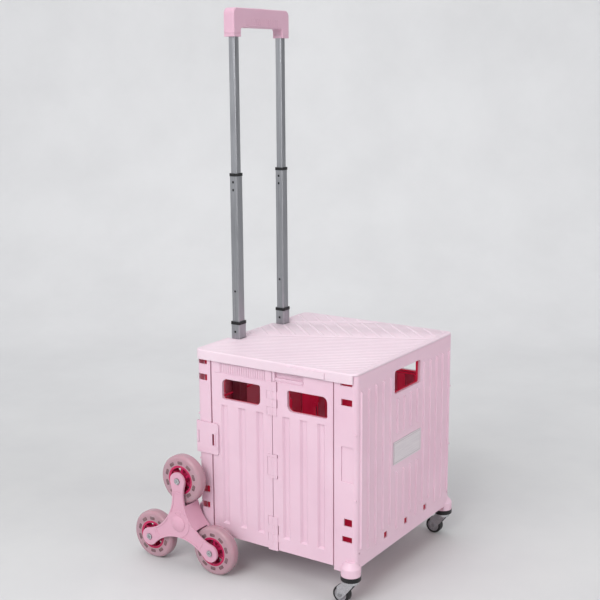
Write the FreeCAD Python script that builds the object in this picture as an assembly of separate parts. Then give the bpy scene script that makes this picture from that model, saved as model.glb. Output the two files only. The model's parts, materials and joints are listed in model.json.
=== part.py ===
import FreeCAD, Part
import math
import os

# Folding crate trolley with a two-stage telescopic handle, three-wheel stair climbing stars and swivel casters.
# Millimetres. +Z up, the front faces -Y, the handle is at the back (+Y), z = 0 is the ground.
# Sizes are laid out about the middle of the crate, and every piece is moved by y_shift at the end, so that the
# origin is under the middle of the whole trolley.

Vector = FreeCAD.Vector

# ---------------------------------------------------------------- driving dimensions
crate_width = 400.0
crate_depth = 376.0
lid_top = 460.0
lid_thickness = 4.0
lid_overhang = 5.0
lid_skirt = 20.0
skin = 3.0
leaf_bottom = 71.0
panel_bottom = 73.0
post_bottom = 63.0
front_post_depth = 49.0
rear_post_depth = 34.0
post_width = 22.0
corner_radius = 10.0

# side walls that fold inwards: two leaves each, with upright pivots
leaf_thickness = 10.0
pivot_inset = 14.0
rear_pivot_y = 148.0
middle_pivot_y = 2.7
hinge_pin_radius = 1.25
pin_clearance = 0.05
lug_radius = 3.2
lug_heights = (110.0, 260.0, 424.0)
lug_half_height = 8.0
play = 0.3

# handle
pole_spacing = 162.8
pole_y = 169.0
tube_wall = 1.5
outer_tube_size = (25.0, 21.4)
middle_tube_size = (21.4, 17.8)
inner_tube_size = (17.8, 14.2)
outer_tube_bottom = 95.0
outer_tube_top = 490.0
middle_tube_bottom = 433.0
middle_tube_top = 798.0
inner_tube_bottom = 751.0
collar_height = 6.0
grip_bottom = 1074.0
grip_top = 1130.0
grip_half_width = 97.0
grip_half_depth = 12.75

# stars
star_hub_y = 204.0
star_hub_z = 97.0
star_arm = 92.0
tyre_radius = 51.0
core_radius = 29.0
star_outer_x = 254.0
star_inner_x = 206.5
cover_thickness = 5.0
back_plate_thickness = 7.0
star_axle_radius = 6.0
wheel_bolt_radius = 4.0
wheel_middle_x = 231.0

# casters
caster_x = 197.0
caster_y = -175.0
caster_radius = 17.5
caster_trail = 19.0
socket_radius = 19.5
collar_radius = 20.0
socket_bottom = 60.0
collar_bottom = 50.0
stem_radius = 4.0

# derived places
half_width = crate_width / 2
half_depth = crate_depth / 2
wall_top = lid_top - lid_thickness - 0.5
skirt_bottom = lid_top - lid_skirt
end_pivot_x = half_width - pivot_inset
front_pivot_y = 2 * middle_pivot_y - rear_pivot_y
rear_leaf_ends = (middle_pivot_y + 0.7, 151.5)
front_leaf_ends = (-136.7, middle_pivot_y - 0.7)
leaf_inner_x = half_width - leaf_thickness
pole_x = pole_spacing / 2
collar_front = caster_y - collar_radius
star_rear = star_hub_y + star_arm * math.cos(math.radians(30)) + tyre_radius
y_shift = -(star_rear + collar_front) / 2


# ---------------------------------------------------------------- helpers
def box(x0, x1, y0, y1, z0, z1):
    low = Vector(min(x0, x1), min(y0, y1), min(z0, z1))
    return Part.makeBox(abs(x1 - x0), abs(y1 - y0), abs(z1 - z0), low)


def rod(radius, start, direction, length):
    return Part.makeCylinder(radius, length, Vector(*start), Vector(*direction))


def rod_z(radius, x, y, z0, z1):
    return rod(radius, (x, y, z0), (0, 0, 1), z1 - z0)


def rod_x(radius, y, z, x0, x1):
    return rod(radius, (min(x0, x1), y, z), (1, 0, 0), abs(x1 - x0))


def fuse(shapes):
    """Joins shapes into one, and merges faces that lie on one surface where that keeps the solid sound."""
    joined = shapes[0].multiFuse(shapes[1:])
    merged = joined.removeSplitter()
    return merged if merged.isValid() else joined


def mirrored(shape):
    return shape.mirror(Vector(0, 0, 0), Vector(1, 0, 0))


def both_sides(shape):
    return [shape, mirrored(shape)]


def in_xy(u, v):
    return Vector(u, v, 0)


def in_yz(u, v):
    return Vector(0, u, v)


def in_xz(u, v):
    return Vector(u, 0, v)


def rounded_wire(points, radii, place):
    """Closed wire through the points, with an arc at each corner: radii is one value, or one a corner."""
    count = len(points)
    if not isinstance(radii, (list, tuple)):
        radii = [radii] * count
    corners = []
    for i, (px, py) in enumerate(points):
        ax, ay = points[i - 1]
        bx, by = points[(i + 1) % count]
        to_a = (ax - px, ay - py)
        to_b = (bx - px, by - py)
        len_a, len_b = math.hypot(*to_a), math.hypot(*to_b)
        ua = (to_a[0] / len_a, to_a[1] / len_a)
        ub = (to_b[0] / len_b, to_b[1] / len_b)
        radius = radii[i]
        if radius <= 0:
            corners.append([(px, py)])
            continue
        half = math.acos(max(-1.0, min(1.0, ua[0] * ub[0] + ua[1] * ub[1]))) / 2
        reach = radius / math.tan(half)
        start = (px + ua[0] * reach, py + ua[1] * reach)
        end = (px + ub[0] * reach, py + ub[1] * reach)
        bis = (ua[0] + ub[0], ua[1] + ub[1])
        bis_len = math.hypot(*bis)
        to_mid = radius / math.sin(half) - radius
        middle = (px + bis[0] / bis_len * to_mid, py + bis[1] / bis_len * to_mid)
        corners.append([start, middle, end])
    edges = []
    for i, corner in enumerate(corners):
        if len(corner) == 3:
            edges.append(Part.Arc(*[place(*p) for p in corner]).toShape())
        start, end = corner[-1], corners[(i + 1) % count][0]
        if math.hypot(end[0] - start[0], end[1] - start[1]) > 1e-6:
            edges.append(Part.makeLine(place(*start), place(*end)))
    return Part.Wire(edges)


def prism(points, radii, place, direction, start, length):
    """Straight prism on a rounded outline: place puts the outline in a plane through the origin."""
    face = Part.Face(rounded_wire(points, radii, place))
    along = Vector(*direction)
    face.translate(along * start)
    return face.extrude(along * length)


def rectangle(u0, u1, v0, v1):
    return [(u0, v0), (u1, v0), (u1, v1), (u0, v1)]


def prism_z(points, radii, z0, z1):
    return prism(points, radii, in_xy, (0, 0, 1), z0, z1 - z0)


def prism_x(points, radii, x0, x1):
    return prism(points, radii, in_yz, (1, 0, 0), x0, x1 - x0)


def prism_y(points, radii, y0, y1):
    return prism(points, radii, in_xz, (0, 1, 0), y0, y1 - y0)


def upright_rib(x, y_face, height, width, z0, z1):
    """Narrow rib on a face that looks along -Y (height above 0) or +Y (height under 0), with sloped ends."""
    tip = y_face - height
    root = y_face + math.copysign(0.5, height)
    half = width / 2
    flat = half * 0.5
    section = prism_z([(x - half, root), (x - flat, tip), (x + flat, tip), (x + half, root)], 0, z0, z1)
    slope = abs(height) + 0.5
    ends = prism_x([(root, z0), (tip, z0 + slope), (tip, z1 - slope), (root, z1)], 0, x - width, x + width)
    return section.common(ends)


# ---------------------------------------------------------------- side leaves (made for the -X side)
flute_width = 17.0
flute_depth = 4.5
flute_bottom = 97.0
flute_top = 351.0
window_bottom = 363.5
window_top = 406.0
knuckle_reach = 11.0
knuckle_proud = 1.5
knuckle_barrel = 2.6
# (bottom, top, leaf that carries the knuckle)
knuckles = (
    (399.3, 418.6, "rear"), (383.6, 399.0, "front"), (366.6, 383.3, "rear"), (350.0, 366.3, "front"),
    (264.3, 270.0, "rear"), (227.0, 264.0, "front"), (221.0, 226.7, "rear"),
    (122.3, 140.0, "front"), (103.3, 122.0, "rear"), (88.3, 103.0, "front"), (69.0, 88.0, "rear"),
)
pin_spans = ((350.5, 418.0), (221.5, 269.5), (69.5, 139.5))


def flute_cutter(y):
    """Recessed upright channel with sloped sides, a sloped foot and a square head."""
    face, floor = -half_width - 1.0, -half_width + flute_depth
    half = flute_width / 2
    foot = half * 0.5
    section = prism_z([(face, y - half - 1), (floor, y - foot), (floor, y + foot), (face, y + half + 1)], 0,
                      flute_bottom, flute_top)
    profile = prism_y([(face, flute_bottom), (floor, flute_bottom + flute_depth), (floor, flute_top),
                       (face, flute_top)], 0, y - flute_width, y + flute_width)
    return section.common(profile)


def leaf_shell(y0, y1, edge_radii, flutes, window, window_radii):
    """Moulded leaf: outer skin, rim, window frame, flute backs and cross ribs."""
    outer, inner = -half_width, -leaf_inner_x
    plan = [(inner, y0), (outer, y0), (outer, y1), (inner, y1)]
    slab = prism_z(plan, [0, *edge_radii, 0], leaf_bottom, wall_top)
    hollow = box(outer + skin, inner + 1, y0 + skin, y1 - skin, leaf_bottom + skin, wall_top - skin)
    parts = [slab.cut(hollow)]
    w0, w1 = window
    frame = prism_x(rectangle(w0 - skin, w1 + skin, window_bottom - skin, window_top + skin),
                    [r + skin for r in window_radii], outer, inner)
    parts.append(frame)
    for y in flutes:
        half = flute_width / 2 + 1
        parts.append(box(outer + skin - 0.5, outer + flute_depth + 2.5, y - half, y + half,
                         flute_bottom - 2, flute_top + 2))
    for z in (180.0, 268.0, 355.0):
        parts.append(box(outer + skin - 0.5, inner, y0 + 1, y1 - 1, z, z + 2.5))
    shell = fuse(parts)
    opening = prism_x(rectangle(w0, w1, window_bottom, window_top), window_radii, outer - 5, inner + 5)
    return shell.cut(Part.makeCompound([opening] + [flute_cutter(y) for y in flutes]))


def middle_hinge(shell, owner):
    """Adds one leaf's knuckles across the middle seam, and clears room for the other leaf's."""
    side = 1 if owner == "rear" else -1
    clear, grown = [], []
    for z0, z1, carrier in knuckles:
        if carrier == owner:
            near, far = middle_pivot_y + side * knuckle_reach, middle_pivot_y - side * knuckle_reach
            grown.append(box(-half_width - knuckle_proud, -half_width + 3.5, near, far, z0, z1))
            grown.append(rod_z(knuckle_barrel, -half_width, middle_pivot_y, z0, z1))
        else:
            clear.append(box(-half_width - 5, -leaf_inner_x + 1, middle_pivot_y,
                             middle_pivot_y + side * (knuckle_reach + 1.6), z0 - play, z1 + play))
    shell = fuse([shell.cut(Part.makeCompound(clear))] + grown)
    bores = [rod_z(hinge_pin_radius + pin_clearance, -half_width, middle_pivot_y, z0 - 1, z1 + 1)
             for z0, z1 in pin_spans]
    return shell.cut(Part.makeCompound(bores))


def end_bore(y):
    return rod_z(hinge_pin_radius + pin_clearance, -end_pivot_x, y, leaf_bottom, wall_top)


def left_rear_leaf():
    y0, y1 = rear_leaf_ends
    shell = leaf_shell(y0, y1, (0, 2.0), (120.3, 76.5, 33.4), (31.0, 124.5), [12.0, 5.0, 12.0, 5.0])
    # shallow band of fine upright ribs under the lid
    band = box(-half_width - 1, -half_width + 1.4, 18.7, 129.0, 417.5, wall_top + 1)
    line = box(-half_width - 1, -half_width + 0.8, 7.5, 142.0, 416.0, 417.5)
    shell = shell.cut(Part.makeCompound([band, line]))
    rib_count = 20
    ribs = []
    for i in range(rib_count):
        y = 18.7 + (i + 0.5) * (129.0 - 18.7) / rib_count
        ribs.append(box(-half_width + 0.4, -half_width + 1.6, y - 0.8, y + 0.8, 417.5, wall_top))
    lugs = []
    for z in lug_heights:
        low, high = z - lug_half_height, z + lug_half_height
        lugs.append(box(-leaf_inner_x - 1, -end_pivot_x, rear_pivot_y - lug_radius, rear_pivot_y + lug_radius,
                        low, high))
        lugs.append(rod_z(lug_radius, -end_pivot_x, rear_pivot_y, low, high))
    shell = fuse([shell] + ribs + lugs).cut(end_bore(rear_pivot_y))
    return middle_hinge(shell, "rear")


def left_front_leaf():
    y0, y1 = front_leaf_ends
    shell = leaf_shell(y0, y1, (1.0, 0), (-29.0, -69.8, -109.6), (-124.0, -33.0), [5.0, 12.0, 5.0, 12.0])
    # finger pocket under the lid
    pocket_back = box(-half_width + 2, -half_width + 8.5, -73.0, -1.0, 416.5, wall_top)
    shell = shell.fuse(pocket_back).removeSplitter()
    pocket = prism_y([(-half_width - 1, 418.5), (-half_width + 1.5, 419.5), (-half_width + 6, 425.0),
                      (-half_width + 6, wall_top + 1), (-half_width - 1, wall_top + 1)], 0, -70.5, -4.0)
    ledge = box(-half_width + 1.5, -half_width + 6.5, -68.0, -4.0, 421.0, 426.5)
    shell = fuse([shell.cut(pocket), ledge])
    lugs = []
    for z in lug_heights:
        low, high = z - lug_half_height, z + lug_half_height
        lugs.append(box(-leaf_inner_x - 2, -end_pivot_x + lug_radius, y0, y0 + 6, low, high))
        lugs.append(box(-end_pivot_x - lug_radius, -end_pivot_x + lug_radius, front_pivot_y, y0 + 6, low, high))
        lugs.append(rod_z(lug_radius, -end_pivot_x, front_pivot_y, low, high))
    shell = fuse([shell] + lugs).cut(end_bore(front_pivot_y))
    return middle_hinge(shell, "front")


def leaf_pins():
    """The three pins of one middle hinge, for the -X side."""
    return [rod_z(hinge_pin_radius, -half_width, middle_pivot_y, z0, z1) for z0, z1 in pin_spans]


def post_lugs(y, y_root):
    """Hinge lugs of one post, above and below each leaf lug, for the -X side."""
    lugs = []
    for z in lug_heights:
        for low in (z - 2 * lug_half_height - play, z + lug_half_height + play):
            high = low + lug_half_height
            lugs.append(box(-end_pivot_x - lug_radius, -end_pivot_x + lug_radius, y, y_root, low, high))
            lugs.append(rod_z(lug_radius, -end_pivot_x, y, low, high))
    return lugs


def end_pins(y):
    """One long pin a side through a post's lugs and the leaf's."""
    low = lug_heights[0] - 2 * lug_half_height
    high = lug_heights[-1] + 2 * lug_half_height
    return both_sides(rod_z(hinge_pin_radius, -end_pivot_x, y, low, high))


def rear_pins():
    """Hinge pins of the rear posts and of the two latches."""
    px, py = latch_pivot
    return end_pins(rear_pivot_y) + both_sides(rod_z(latch_pin_radius, px, py, latch_bottom, latch_top))


def front_pins():
    """Hinge pins of the front posts and of the floor tray."""
    return end_pins(front_pivot_y) + [rod_x(base_pin_radius, base_hinge_y, base_hinge_z, -171.0, 171.0)]


# ---------------------------------------------------------------- front panel
rib_pitch = 28.15
rib_height = 3.5
rib_width = 8.0
rib_top = 425.0
hand_hole = (-54.0, 54.0, 385.5, 432.5)
plate_half_width = 58.0
plate_bottom = 240.0
plate_top = 287.0
lattice_z = 104.0
lattice_size = 13.0
lattice_x = (-3 * rib_pitch, 0.0, 3 * rib_pitch)
base_hinge_y = -158.0
base_hinge_z = 64.0
base_hinge_radius = 4.0
base_pin_radius = 1.5
base_lug_x = (-164.0, -56.0, 56.0, 164.0)
base_lug_half = 6.0


def channel_plan(y_face, y_back, direction):
    """Plan outline of a wall with returns: direction is -1 for the front panel, +1 for the rear panel."""
    inner_x, inner_y = half_width - skin, y_face - direction * skin
    return [(-half_width, y_back), (-half_width, y_face), (half_width, y_face), (half_width, y_back),
            (inner_x, y_back), (inner_x, inner_y), (-inner_x, inner_y), (-inner_x, y_back)]


channel_radii = [0, corner_radius, corner_radius, 0, 0, corner_radius - skin, corner_radius - skin, 0]


def front_ribs():
    ribs = []
    face = -half_depth
    for i in range(14):
        x = (i - 6.5) * rib_pitch
        near_lattice = any(abs(x - lx) < rib_pitch * 0.6 for lx in lattice_x)
        foot = 118.0 if near_lattice else (110.0 if abs(x) > 170 else 100.0)
        if abs(x) < hand_hole[1]:
            spans = ((foot, 225.0), (301.0, 376.0))
        else:
            spans = ((foot, rib_top),)
        ribs += [upright_rib(x, face, rib_height, rib_width, z0, z1) for z0, z1 in spans]
    return ribs


def caster_socket():
    """Round cup under the -X front corner that holds a caster stem."""
    cup = rod_z(socket_radius, -caster_x, caster_y, socket_bottom, 76.0)
    shoulder = Part.makeCone(socket_radius, 11.0, 12.0, Vector(-caster_x, caster_y, 76.0), Vector(0, 0, 1))
    return cup.fuse(shoulder)


def front_panel():
    face, back = -half_depth, -half_depth + front_post_depth
    inner_wall = -half_width + post_width
    plan = channel_plan(face, back, -1)
    wall = prism_z(plan, channel_radii, panel_bottom, wall_top)
    parts = [wall]
    box_back = back - 11.0
    side = [box(-half_width, -half_width + skin, face + corner_radius, back, post_bottom, panel_bottom + 1),
            box(inner_wall - skin, inner_wall, face + 1, box_back, post_bottom, wall_top),
            box(-half_width + 1, inner_wall, box_back - skin, box_back, post_bottom, wall_top),
            box(-half_width + 1, inner_wall, face + 12, box_back, post_bottom, post_bottom + 4),
            box(-half_width + 1, inner_wall, face + 1, box_back, 210.0, 213.0),
            box(-half_width + 1, inner_wall, face + 1, box_back, 340.0, 343.0),
            box(-half_width + 1, -half_width + 6, -182.0, -153.0, 244.0, 319.0),
            caster_socket()]
    side += post_lugs(front_pivot_y, box_back - 1)
    for shape in side:
        parts += both_sides(shape)
    parts += front_ribs()
    x0, x1, z0, z1 = hand_hole
    parts.append(prism_y(rectangle(x0 - skin, x1 + skin, z0 - skin, z1 + skin), 8.0, face + 1, face + 11))
    # stiffening ribs inside
    root = face + skin - 0.5
    for z in (140.0, 222.0, 304.0):
        parts.append(box(inner_wall - 1, -inner_wall + 1, root, face + 9, z, z + 2.5))
    parts.append(box(inner_wall - 1, -inner_wall + 1, root, face + 20, panel_bottom, panel_bottom + 3))
    parts.append(box(inner_wall - 1, -inner_wall + 1, root, face + 9, wall_top - 3, wall_top))
    low, high = base_hinge_z - base_hinge_radius, base_hinge_z + base_hinge_radius
    for x in base_lug_x:
        near, far = x - base_lug_half, x + base_lug_half
        parts.append(box(near, far, root, base_hinge_y - 5.0, 75.0, 84.0))
        parts.append(box(near, far, base_hinge_y - 11.0, base_hinge_y - 3.5, low, 84.0))
        parts.append(box(near, far, base_hinge_y - 5.0, base_hinge_y, low, high))
        parts.append(rod_x(base_hinge_radius, base_hinge_y, base_hinge_z, near, far))
    panel = fuse(parts)
    cuts = [prism_y(rectangle(x0, x1, z0, z1), 5.0, face - 6, face + 30),
            rod_x(base_pin_radius + pin_clearance, base_hinge_y, base_hinge_z, -173.0, 173.0)]
    for x in lattice_x:
        half = lattice_size / 2
        cuts.append(prism_y(rectangle(x - half, x + half, lattice_z - half, lattice_z + half), 1.0,
                            face - 6, face + 8))
    side_cuts = [rod(2.2, (-186.5, face - 1, 103.0), (0, 1, 0), 6.0),
                 rod(1.6, (-caster_x + 2.0, caster_y - socket_radius - 1, 66.0), (0, 1, 0), 5.0),
                 rod_z(stem_radius, -caster_x, caster_y, socket_bottom - 1, 84.0),
                 rod_z(hinge_pin_radius + pin_clearance, -end_pivot_x, front_pivot_y, post_bottom, wall_top),
                 prism_x(rectangle(-181.5, -154.5, 246.0, 316.5), 3.0, -half_width - 1, -half_width + 2.2)]
    for y0, y1, low, high in ((-178.5, -152.5, 434.5, 442.0), (-178.5, -154.5, 396.0, 409.0),
                              (-179.0, -161.0, 158.0, 173.0), (-179.0, -157.0, 125.5, 137.0)):
        side_cuts.append(box(-half_width - 1, -half_width + 9, y0, y1, low, high))
    for shape in side_cuts:
        cuts += both_sides(shape)
    return panel.cut(Part.makeCompound(cuts))


def nameplate():
    face = -half_depth
    outline = rectangle(-plate_half_width, plate_half_width, plate_bottom, plate_top)
    return prism_y(outline, 2.5, face - 1.4, face)


def base_plate():
    """Floor of the crate: a ribbed tray hinged along its front edge."""
    half, rear = 176.0, 150.0
    front = base_hinge_y + 5.0
    bottom, top = base_hinge_z - 3.0, base_hinge_z + 3.0
    tray = prism_z(rectangle(-half, half, front, rear), [2.0, 2.0, 8.0, 8.0], bottom, top)
    cells = []
    columns, rows, web = 8, 7, 3.0
    cell_x = (2 * half - web) / columns
    cell_y = (rear - front - web) / rows
    for i in range(columns):
        for j in range(rows):
            x0 = -half + web + i * cell_x
            y0 = front + web + j * cell_y
            cells.append(box(x0, x0 + cell_x - web, y0, y0 + cell_y - web, bottom - 1, top - 2.2))
    tray = tray.cut(Part.makeCompound(cells))
    barrels = []
    gap = base_lug_half + 0.5
    edges = [-half] + [v for x in base_lug_x for v in (x - gap, x + gap)] + [half]
    for x0, x1 in zip(edges[0::2], edges[1::2]):
        barrels.append(rod_x(base_hinge_radius - 0.2, base_hinge_y, base_hinge_z, x0, x1))
        barrels.append(box(x0, x1, base_hinge_y, front + 1, bottom, top))
    tray = fuse([tray] + barrels)
    # two finger holes to lift the tray by its rear edge
    hole_x = (-70.0, 70.0)
    holes = [prism_z(rectangle(x - 22, x + 22, 116.0, 134.0), 8.0, bottom - 2, top + 2) for x in hole_x]
    bore = rod_x(base_pin_radius + pin_clearance, base_hinge_y, base_hinge_z, -half - 1, half + 1)
    frames = [prism_z(rectangle(x - 25, x + 25, 113.0, 137.0), 10.0, bottom, top) for x in hole_x]
    return fuse([tray] + frames).cut(Part.makeCompound(holes + [bore]))


# ---------------------------------------------------------------- rear panel
latch_bottom = 242.5
latch_top = 309.0
latch_pivot = (-half_width, half_depth)
latch_barrel = 3.2
latch_pin_radius = 1.5
latch_split = (263.0, 289.0)
boss_radius = 14.0
boss_x = (152.0, 204.0)
bracket_webs = (-194.0, -176.0, -156.0)
saddle_spans = ((86.0, 112.0), (262.0, 282.0), (428.0, 448.0))


def tube_space():
    """The room that the -X outer tube takes."""
    w, d = outer_tube_size
    return prism_z(rectangle(-pole_x - w / 2, -pole_x + w / 2, pole_y - d / 2, pole_y + d / 2), 3.0,
                   outer_tube_bottom, wall_top + 1)


def tube_saddles():
    """Clamps that hold the outer tubes to the inside of the rear wall; the lowest ones close under the tubes."""
    w, d = outer_tube_size
    reach = w / 2 + 4
    plan = rectangle(-pole_x - reach, -pole_x + reach, pole_y - d / 2 - 3, half_depth - skin)
    clamps = []
    for z0, z1 in saddle_spans:
        clamps += both_sides(prism_z(plan, [3.0, 3.0, 0, 0], z0, z1).cut(tube_space()))
    return clamps


def axle_brackets():
    """Bearing blocks on the outside of the rear wall that carry the star axle."""
    y_wall = half_depth
    z_low, z_high = star_hub_z - boss_radius + 1, star_hub_z + boss_radius + 16
    foot = prism_y(rectangle(-boss_x[1] + 8, -boss_x[0], z_low, z_high), 3.0, y_wall, y_wall + 4)
    barrel = rod_x(boss_radius, star_hub_y, star_hub_z, -boss_x[1], -boss_x[0])
    parts = [foot, barrel.common(box(-boss_x[1], -boss_x[0], y_wall, 300.0, 0.0, 200.0))]
    web = [(y_wall, z_low), (star_hub_y, z_low), (star_hub_y, z_high - 14), (y_wall, z_high)]
    for x in bracket_webs:
        parts.append(prism_x(web, 0, x, x + 4))
    bracket = fuse(parts).cut(rod_x(star_axle_radius, star_hub_y, star_hub_z, -210.0, -150.0))
    return both_sides(bracket)


def rear_panel():
    face, front = half_depth, half_depth - rear_post_depth
    inner_wall = -half_width + post_width
    wall = prism_z(channel_plan(face, front, 1), channel_radii, panel_bottom, wall_top)
    parts = [wall]
    side = [box(-half_width, -half_width + skin, front, face - corner_radius, post_bottom, panel_bottom + 1),
            box(inner_wall - skin, inner_wall, front, face - 1, post_bottom, wall_top),
            box(-half_width + 1, inner_wall, front, front + skin, post_bottom, wall_top),
            box(-half_width + 1, inner_wall, front, face - 12, post_bottom, post_bottom + 4),
            box(-half_width + 1, inner_wall, front, face - 1, 226.0, 229.0),
            box(-half_width + 1, inner_wall, front, face - 1, 322.0, 325.0)]
    side += post_lugs(rear_pivot_y, front + 1)
    # rest under the rear edge of the floor tray
    side.append(box(-186.0, -180.5, 156.0, 168.0, 53.0, post_bottom + 2))
    # knuckle that carries the latch
    px, py = latch_pivot
    low, high = latch_split[0] + play, latch_split[1] - play
    side.append(rod_z(latch_barrel, px, py, low, high))
    neck = box(0.0, 6.0, -2.6, 2.6, low, high)
    neck.rotate(Vector(0, 0, 0), Vector(0, 0, 1), -45)
    neck.translate(Vector(px, py, 0))
    side.append(neck)
    for shape in side:
        parts += both_sides(shape)
    parts.append(box(-186.0, 186.0, 138.0, 168.0, 53.0, base_hinge_z - 3.3))
    for i in range(14):
        x = (i - 6.5) * rib_pitch
        if abs(x) < 140:
            parts.append(upright_rib(x, face, -2.2, rib_width, 126.0, rib_top))
    for z in (180.0, 340.0):
        parts.append(box(inner_wall - 1, -inner_wall + 1, face - 9, face - skin + 0.5, z, z + 2.5))
    parts.append(box(inner_wall - 1, -inner_wall + 1, face - 9, face - skin + 0.5, wall_top - 3, wall_top))
    panel = fuse(parts)
    side_cuts = [tube_space(),
                 rod_z(hinge_pin_radius + pin_clearance, -end_pivot_x, rear_pivot_y, post_bottom, wall_top),
                 rod_z(latch_pin_radius, px, py, latch_bottom, latch_top)]
    for y0, y1, z0, z1 in ((162.0, 184.5, 429.5, 442.0), (162.0, 184.5, 395.5, 408.5),
                           (161.5, 180.0, 156.5, 171.0), (162.0, 182.0, 122.5, 135.5)):
        side_cuts.append(box(-half_width - 1, -half_width + 9, y0, y1, z0, z1))
    cuts = []
    for shape in side_cuts:
        cuts += both_sides(shape)
    return panel.cut(Part.makeCompound(cuts))


def left_latch():
    """Snap plate that wraps the rear corner and lies over the rear leaf's edge."""
    px, py = latch_pivot
    front = 134.5
    outer, inner = -half_width - latch_barrel, -half_width - 0.7
    plate = prism_x([(front, latch_bottom), (py, latch_bottom), (py, latch_top), (front, latch_top)],
                    [6.0, 0, 0, 6.0], outer, inner)
    lip = box(outer - 1.6, outer + 0.2, front, front + 4.5, 255.0, 293.0)
    low, high = latch_split
    barrel = rod_z(latch_barrel, px, py, latch_bottom, latch_top)
    latch = fuse([plate, lip, barrel])
    slot = prism_x(rectangle(145.5, 150.5, 261.0, 286.0), 1.0, outer - 3, inner + 2)
    recess = box(outer - 3, outer + 1.0, 136.5, 142.5, 259.0, 289.0)
    clear = box(px - 8, px + 8, py - 5.0, py + 8, low, high)
    bore = rod_z(latch_pin_radius + pin_clearance, px, py, latch_bottom - 1, latch_top + 1)
    return latch.cut(Part.makeCompound([slot, recess, clear, bore]))


# ---------------------------------------------------------------- lid
lid_front = -half_depth
lid_rear = half_depth + 2.5
lid_corner = 16.0


def lid():
    half = half_width + lid_overhang
    plan = rectangle(-half, half, lid_front, lid_rear)
    top = prism_z(plan, [lid_corner] * 4, lid_top - lid_thickness, lid_top)
    skirts = prism_z(plan, [lid_corner] * 4, skirt_bottom, lid_top - lid_thickness + 0.5)
    hollow_top = lid_top - lid_thickness
    inner_corner = lid_corner - 2.5
    hollow = prism_z(rectangle(-half + 2.7, half - 2.7, lid_front - 30, lid_rear - 2.2),
                     [0, 0, inner_corner, inner_corner], skirt_bottom - 1, hollow_top)
    front_clear = box(-half_width - 0.5, half_width + 0.5, lid_front - 1, lid_front + lid_corner,
                      skirt_bottom - 1, hollow_top)
    body = fuse([top, skirts.cut(Part.makeCompound([hollow, front_clear]))])
    rim = [e for e in body.Edges if min(e.BoundBox.ZMin, 2 * lid_top - e.BoundBox.ZMax) > lid_top - 1e-4]
    body = body.makeFillet(3.2, rim)
    # lift tabs on both side skirts
    tab = prism_x(rectangle(-121.0, -32.0, lid_top - 18.0, lid_top - 5.0), 2.0, -half - 2.6, -half + 1)
    w, d = outer_tube_size
    reach = w / 2 + 1.5
    notch = prism_z(rectangle(-pole_x - reach, -pole_x + reach, pole_y - d / 2 - 1.5, lid_rear + 5),
                    [4.0, 4.0, 0, 0], skirt_bottom - 1, lid_top + 2)
    body = fuse([body] + both_sides(tab))
    return body.cut(Part.makeCompound(both_sides(notch)))


# ---------------------------------------------------------------- handle
def tube(size, wall, z0, z1, x):
    w, d = size
    outer = prism_z(rectangle(x - w / 2, x + w / 2, pole_y - d / 2, pole_y + d / 2), 3.0, z0, z1)
    iw, idp = w - 2 * wall, d - 2 * wall
    inner = prism_z(rectangle(x - iw / 2, x + iw / 2, pole_y - idp / 2, pole_y + idp / 2), 3.0 - wall + 0.3,
                    z0 - 1, z1 + 1)
    return outer.cut(inner)


def outer_tube(x):
    w = outer_tube_size[0]
    body = tube(outer_tube_size, tube_wall, outer_tube_bottom, outer_tube_top, x)
    hole = box(x - w / 2 - 1, x - w / 2 + 3, pole_y - 2.4, pole_y + 2.4, lid_top + 12, lid_top + 17)
    return body.cut(hole)


def middle_tube(x):
    w = middle_tube_size[0]
    body = tube(middle_tube_size, tube_wall, middle_tube_bottom, middle_tube_top, x)
    holes = [box(x - w / 2 - 1, x - w / 2 + 3, pole_y - 2.2, pole_y + 2.2, z - 2.6, z + 2.6)
             for z in (middle_tube_top - 12, middle_tube_top - 28)]
    holes.append(rod_x(2.2, pole_y, 560.0, x - w / 2 - 1, x - w / 2 + 3))
    return body.cut(Part.makeCompound(holes))


def inner_tube(x):
    return tube(inner_tube_size, 1.3, inner_tube_bottom, grip_bottom + 21, x)


def collars(size, inner_size, z0):
    """Black end rings of one stage, on both poles."""
    out = []
    for x in (-pole_x, pole_x):
        w, d = size[0] + 2.0, size[1] + 2.0
        iw, idp = inner_size[0] + 0.6, inner_size[1] + 0.6
        z1 = z0 + collar_height
        ring = prism_z(rectangle(x - w / 2, x + w / 2, pole_y - d / 2, pole_y + d / 2), 4.0, z0, z1)
        hole = prism_z(rectangle(x - iw / 2, x + iw / 2, pole_y - idp / 2, pole_y + idp / 2), 3.0, z0 - 1, z1 + 1)
        out.append(ring.cut(hole))
    return out


leg_width = 25.0
bar_bottom = grip_bottom + 18.0
button_half_length = 23.0
button_half_depth = 6.5
button_travel = 4.0
rod_z_level = 1106.0
release_rod_radius = 2.0
spring_radius = 4.0


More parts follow.
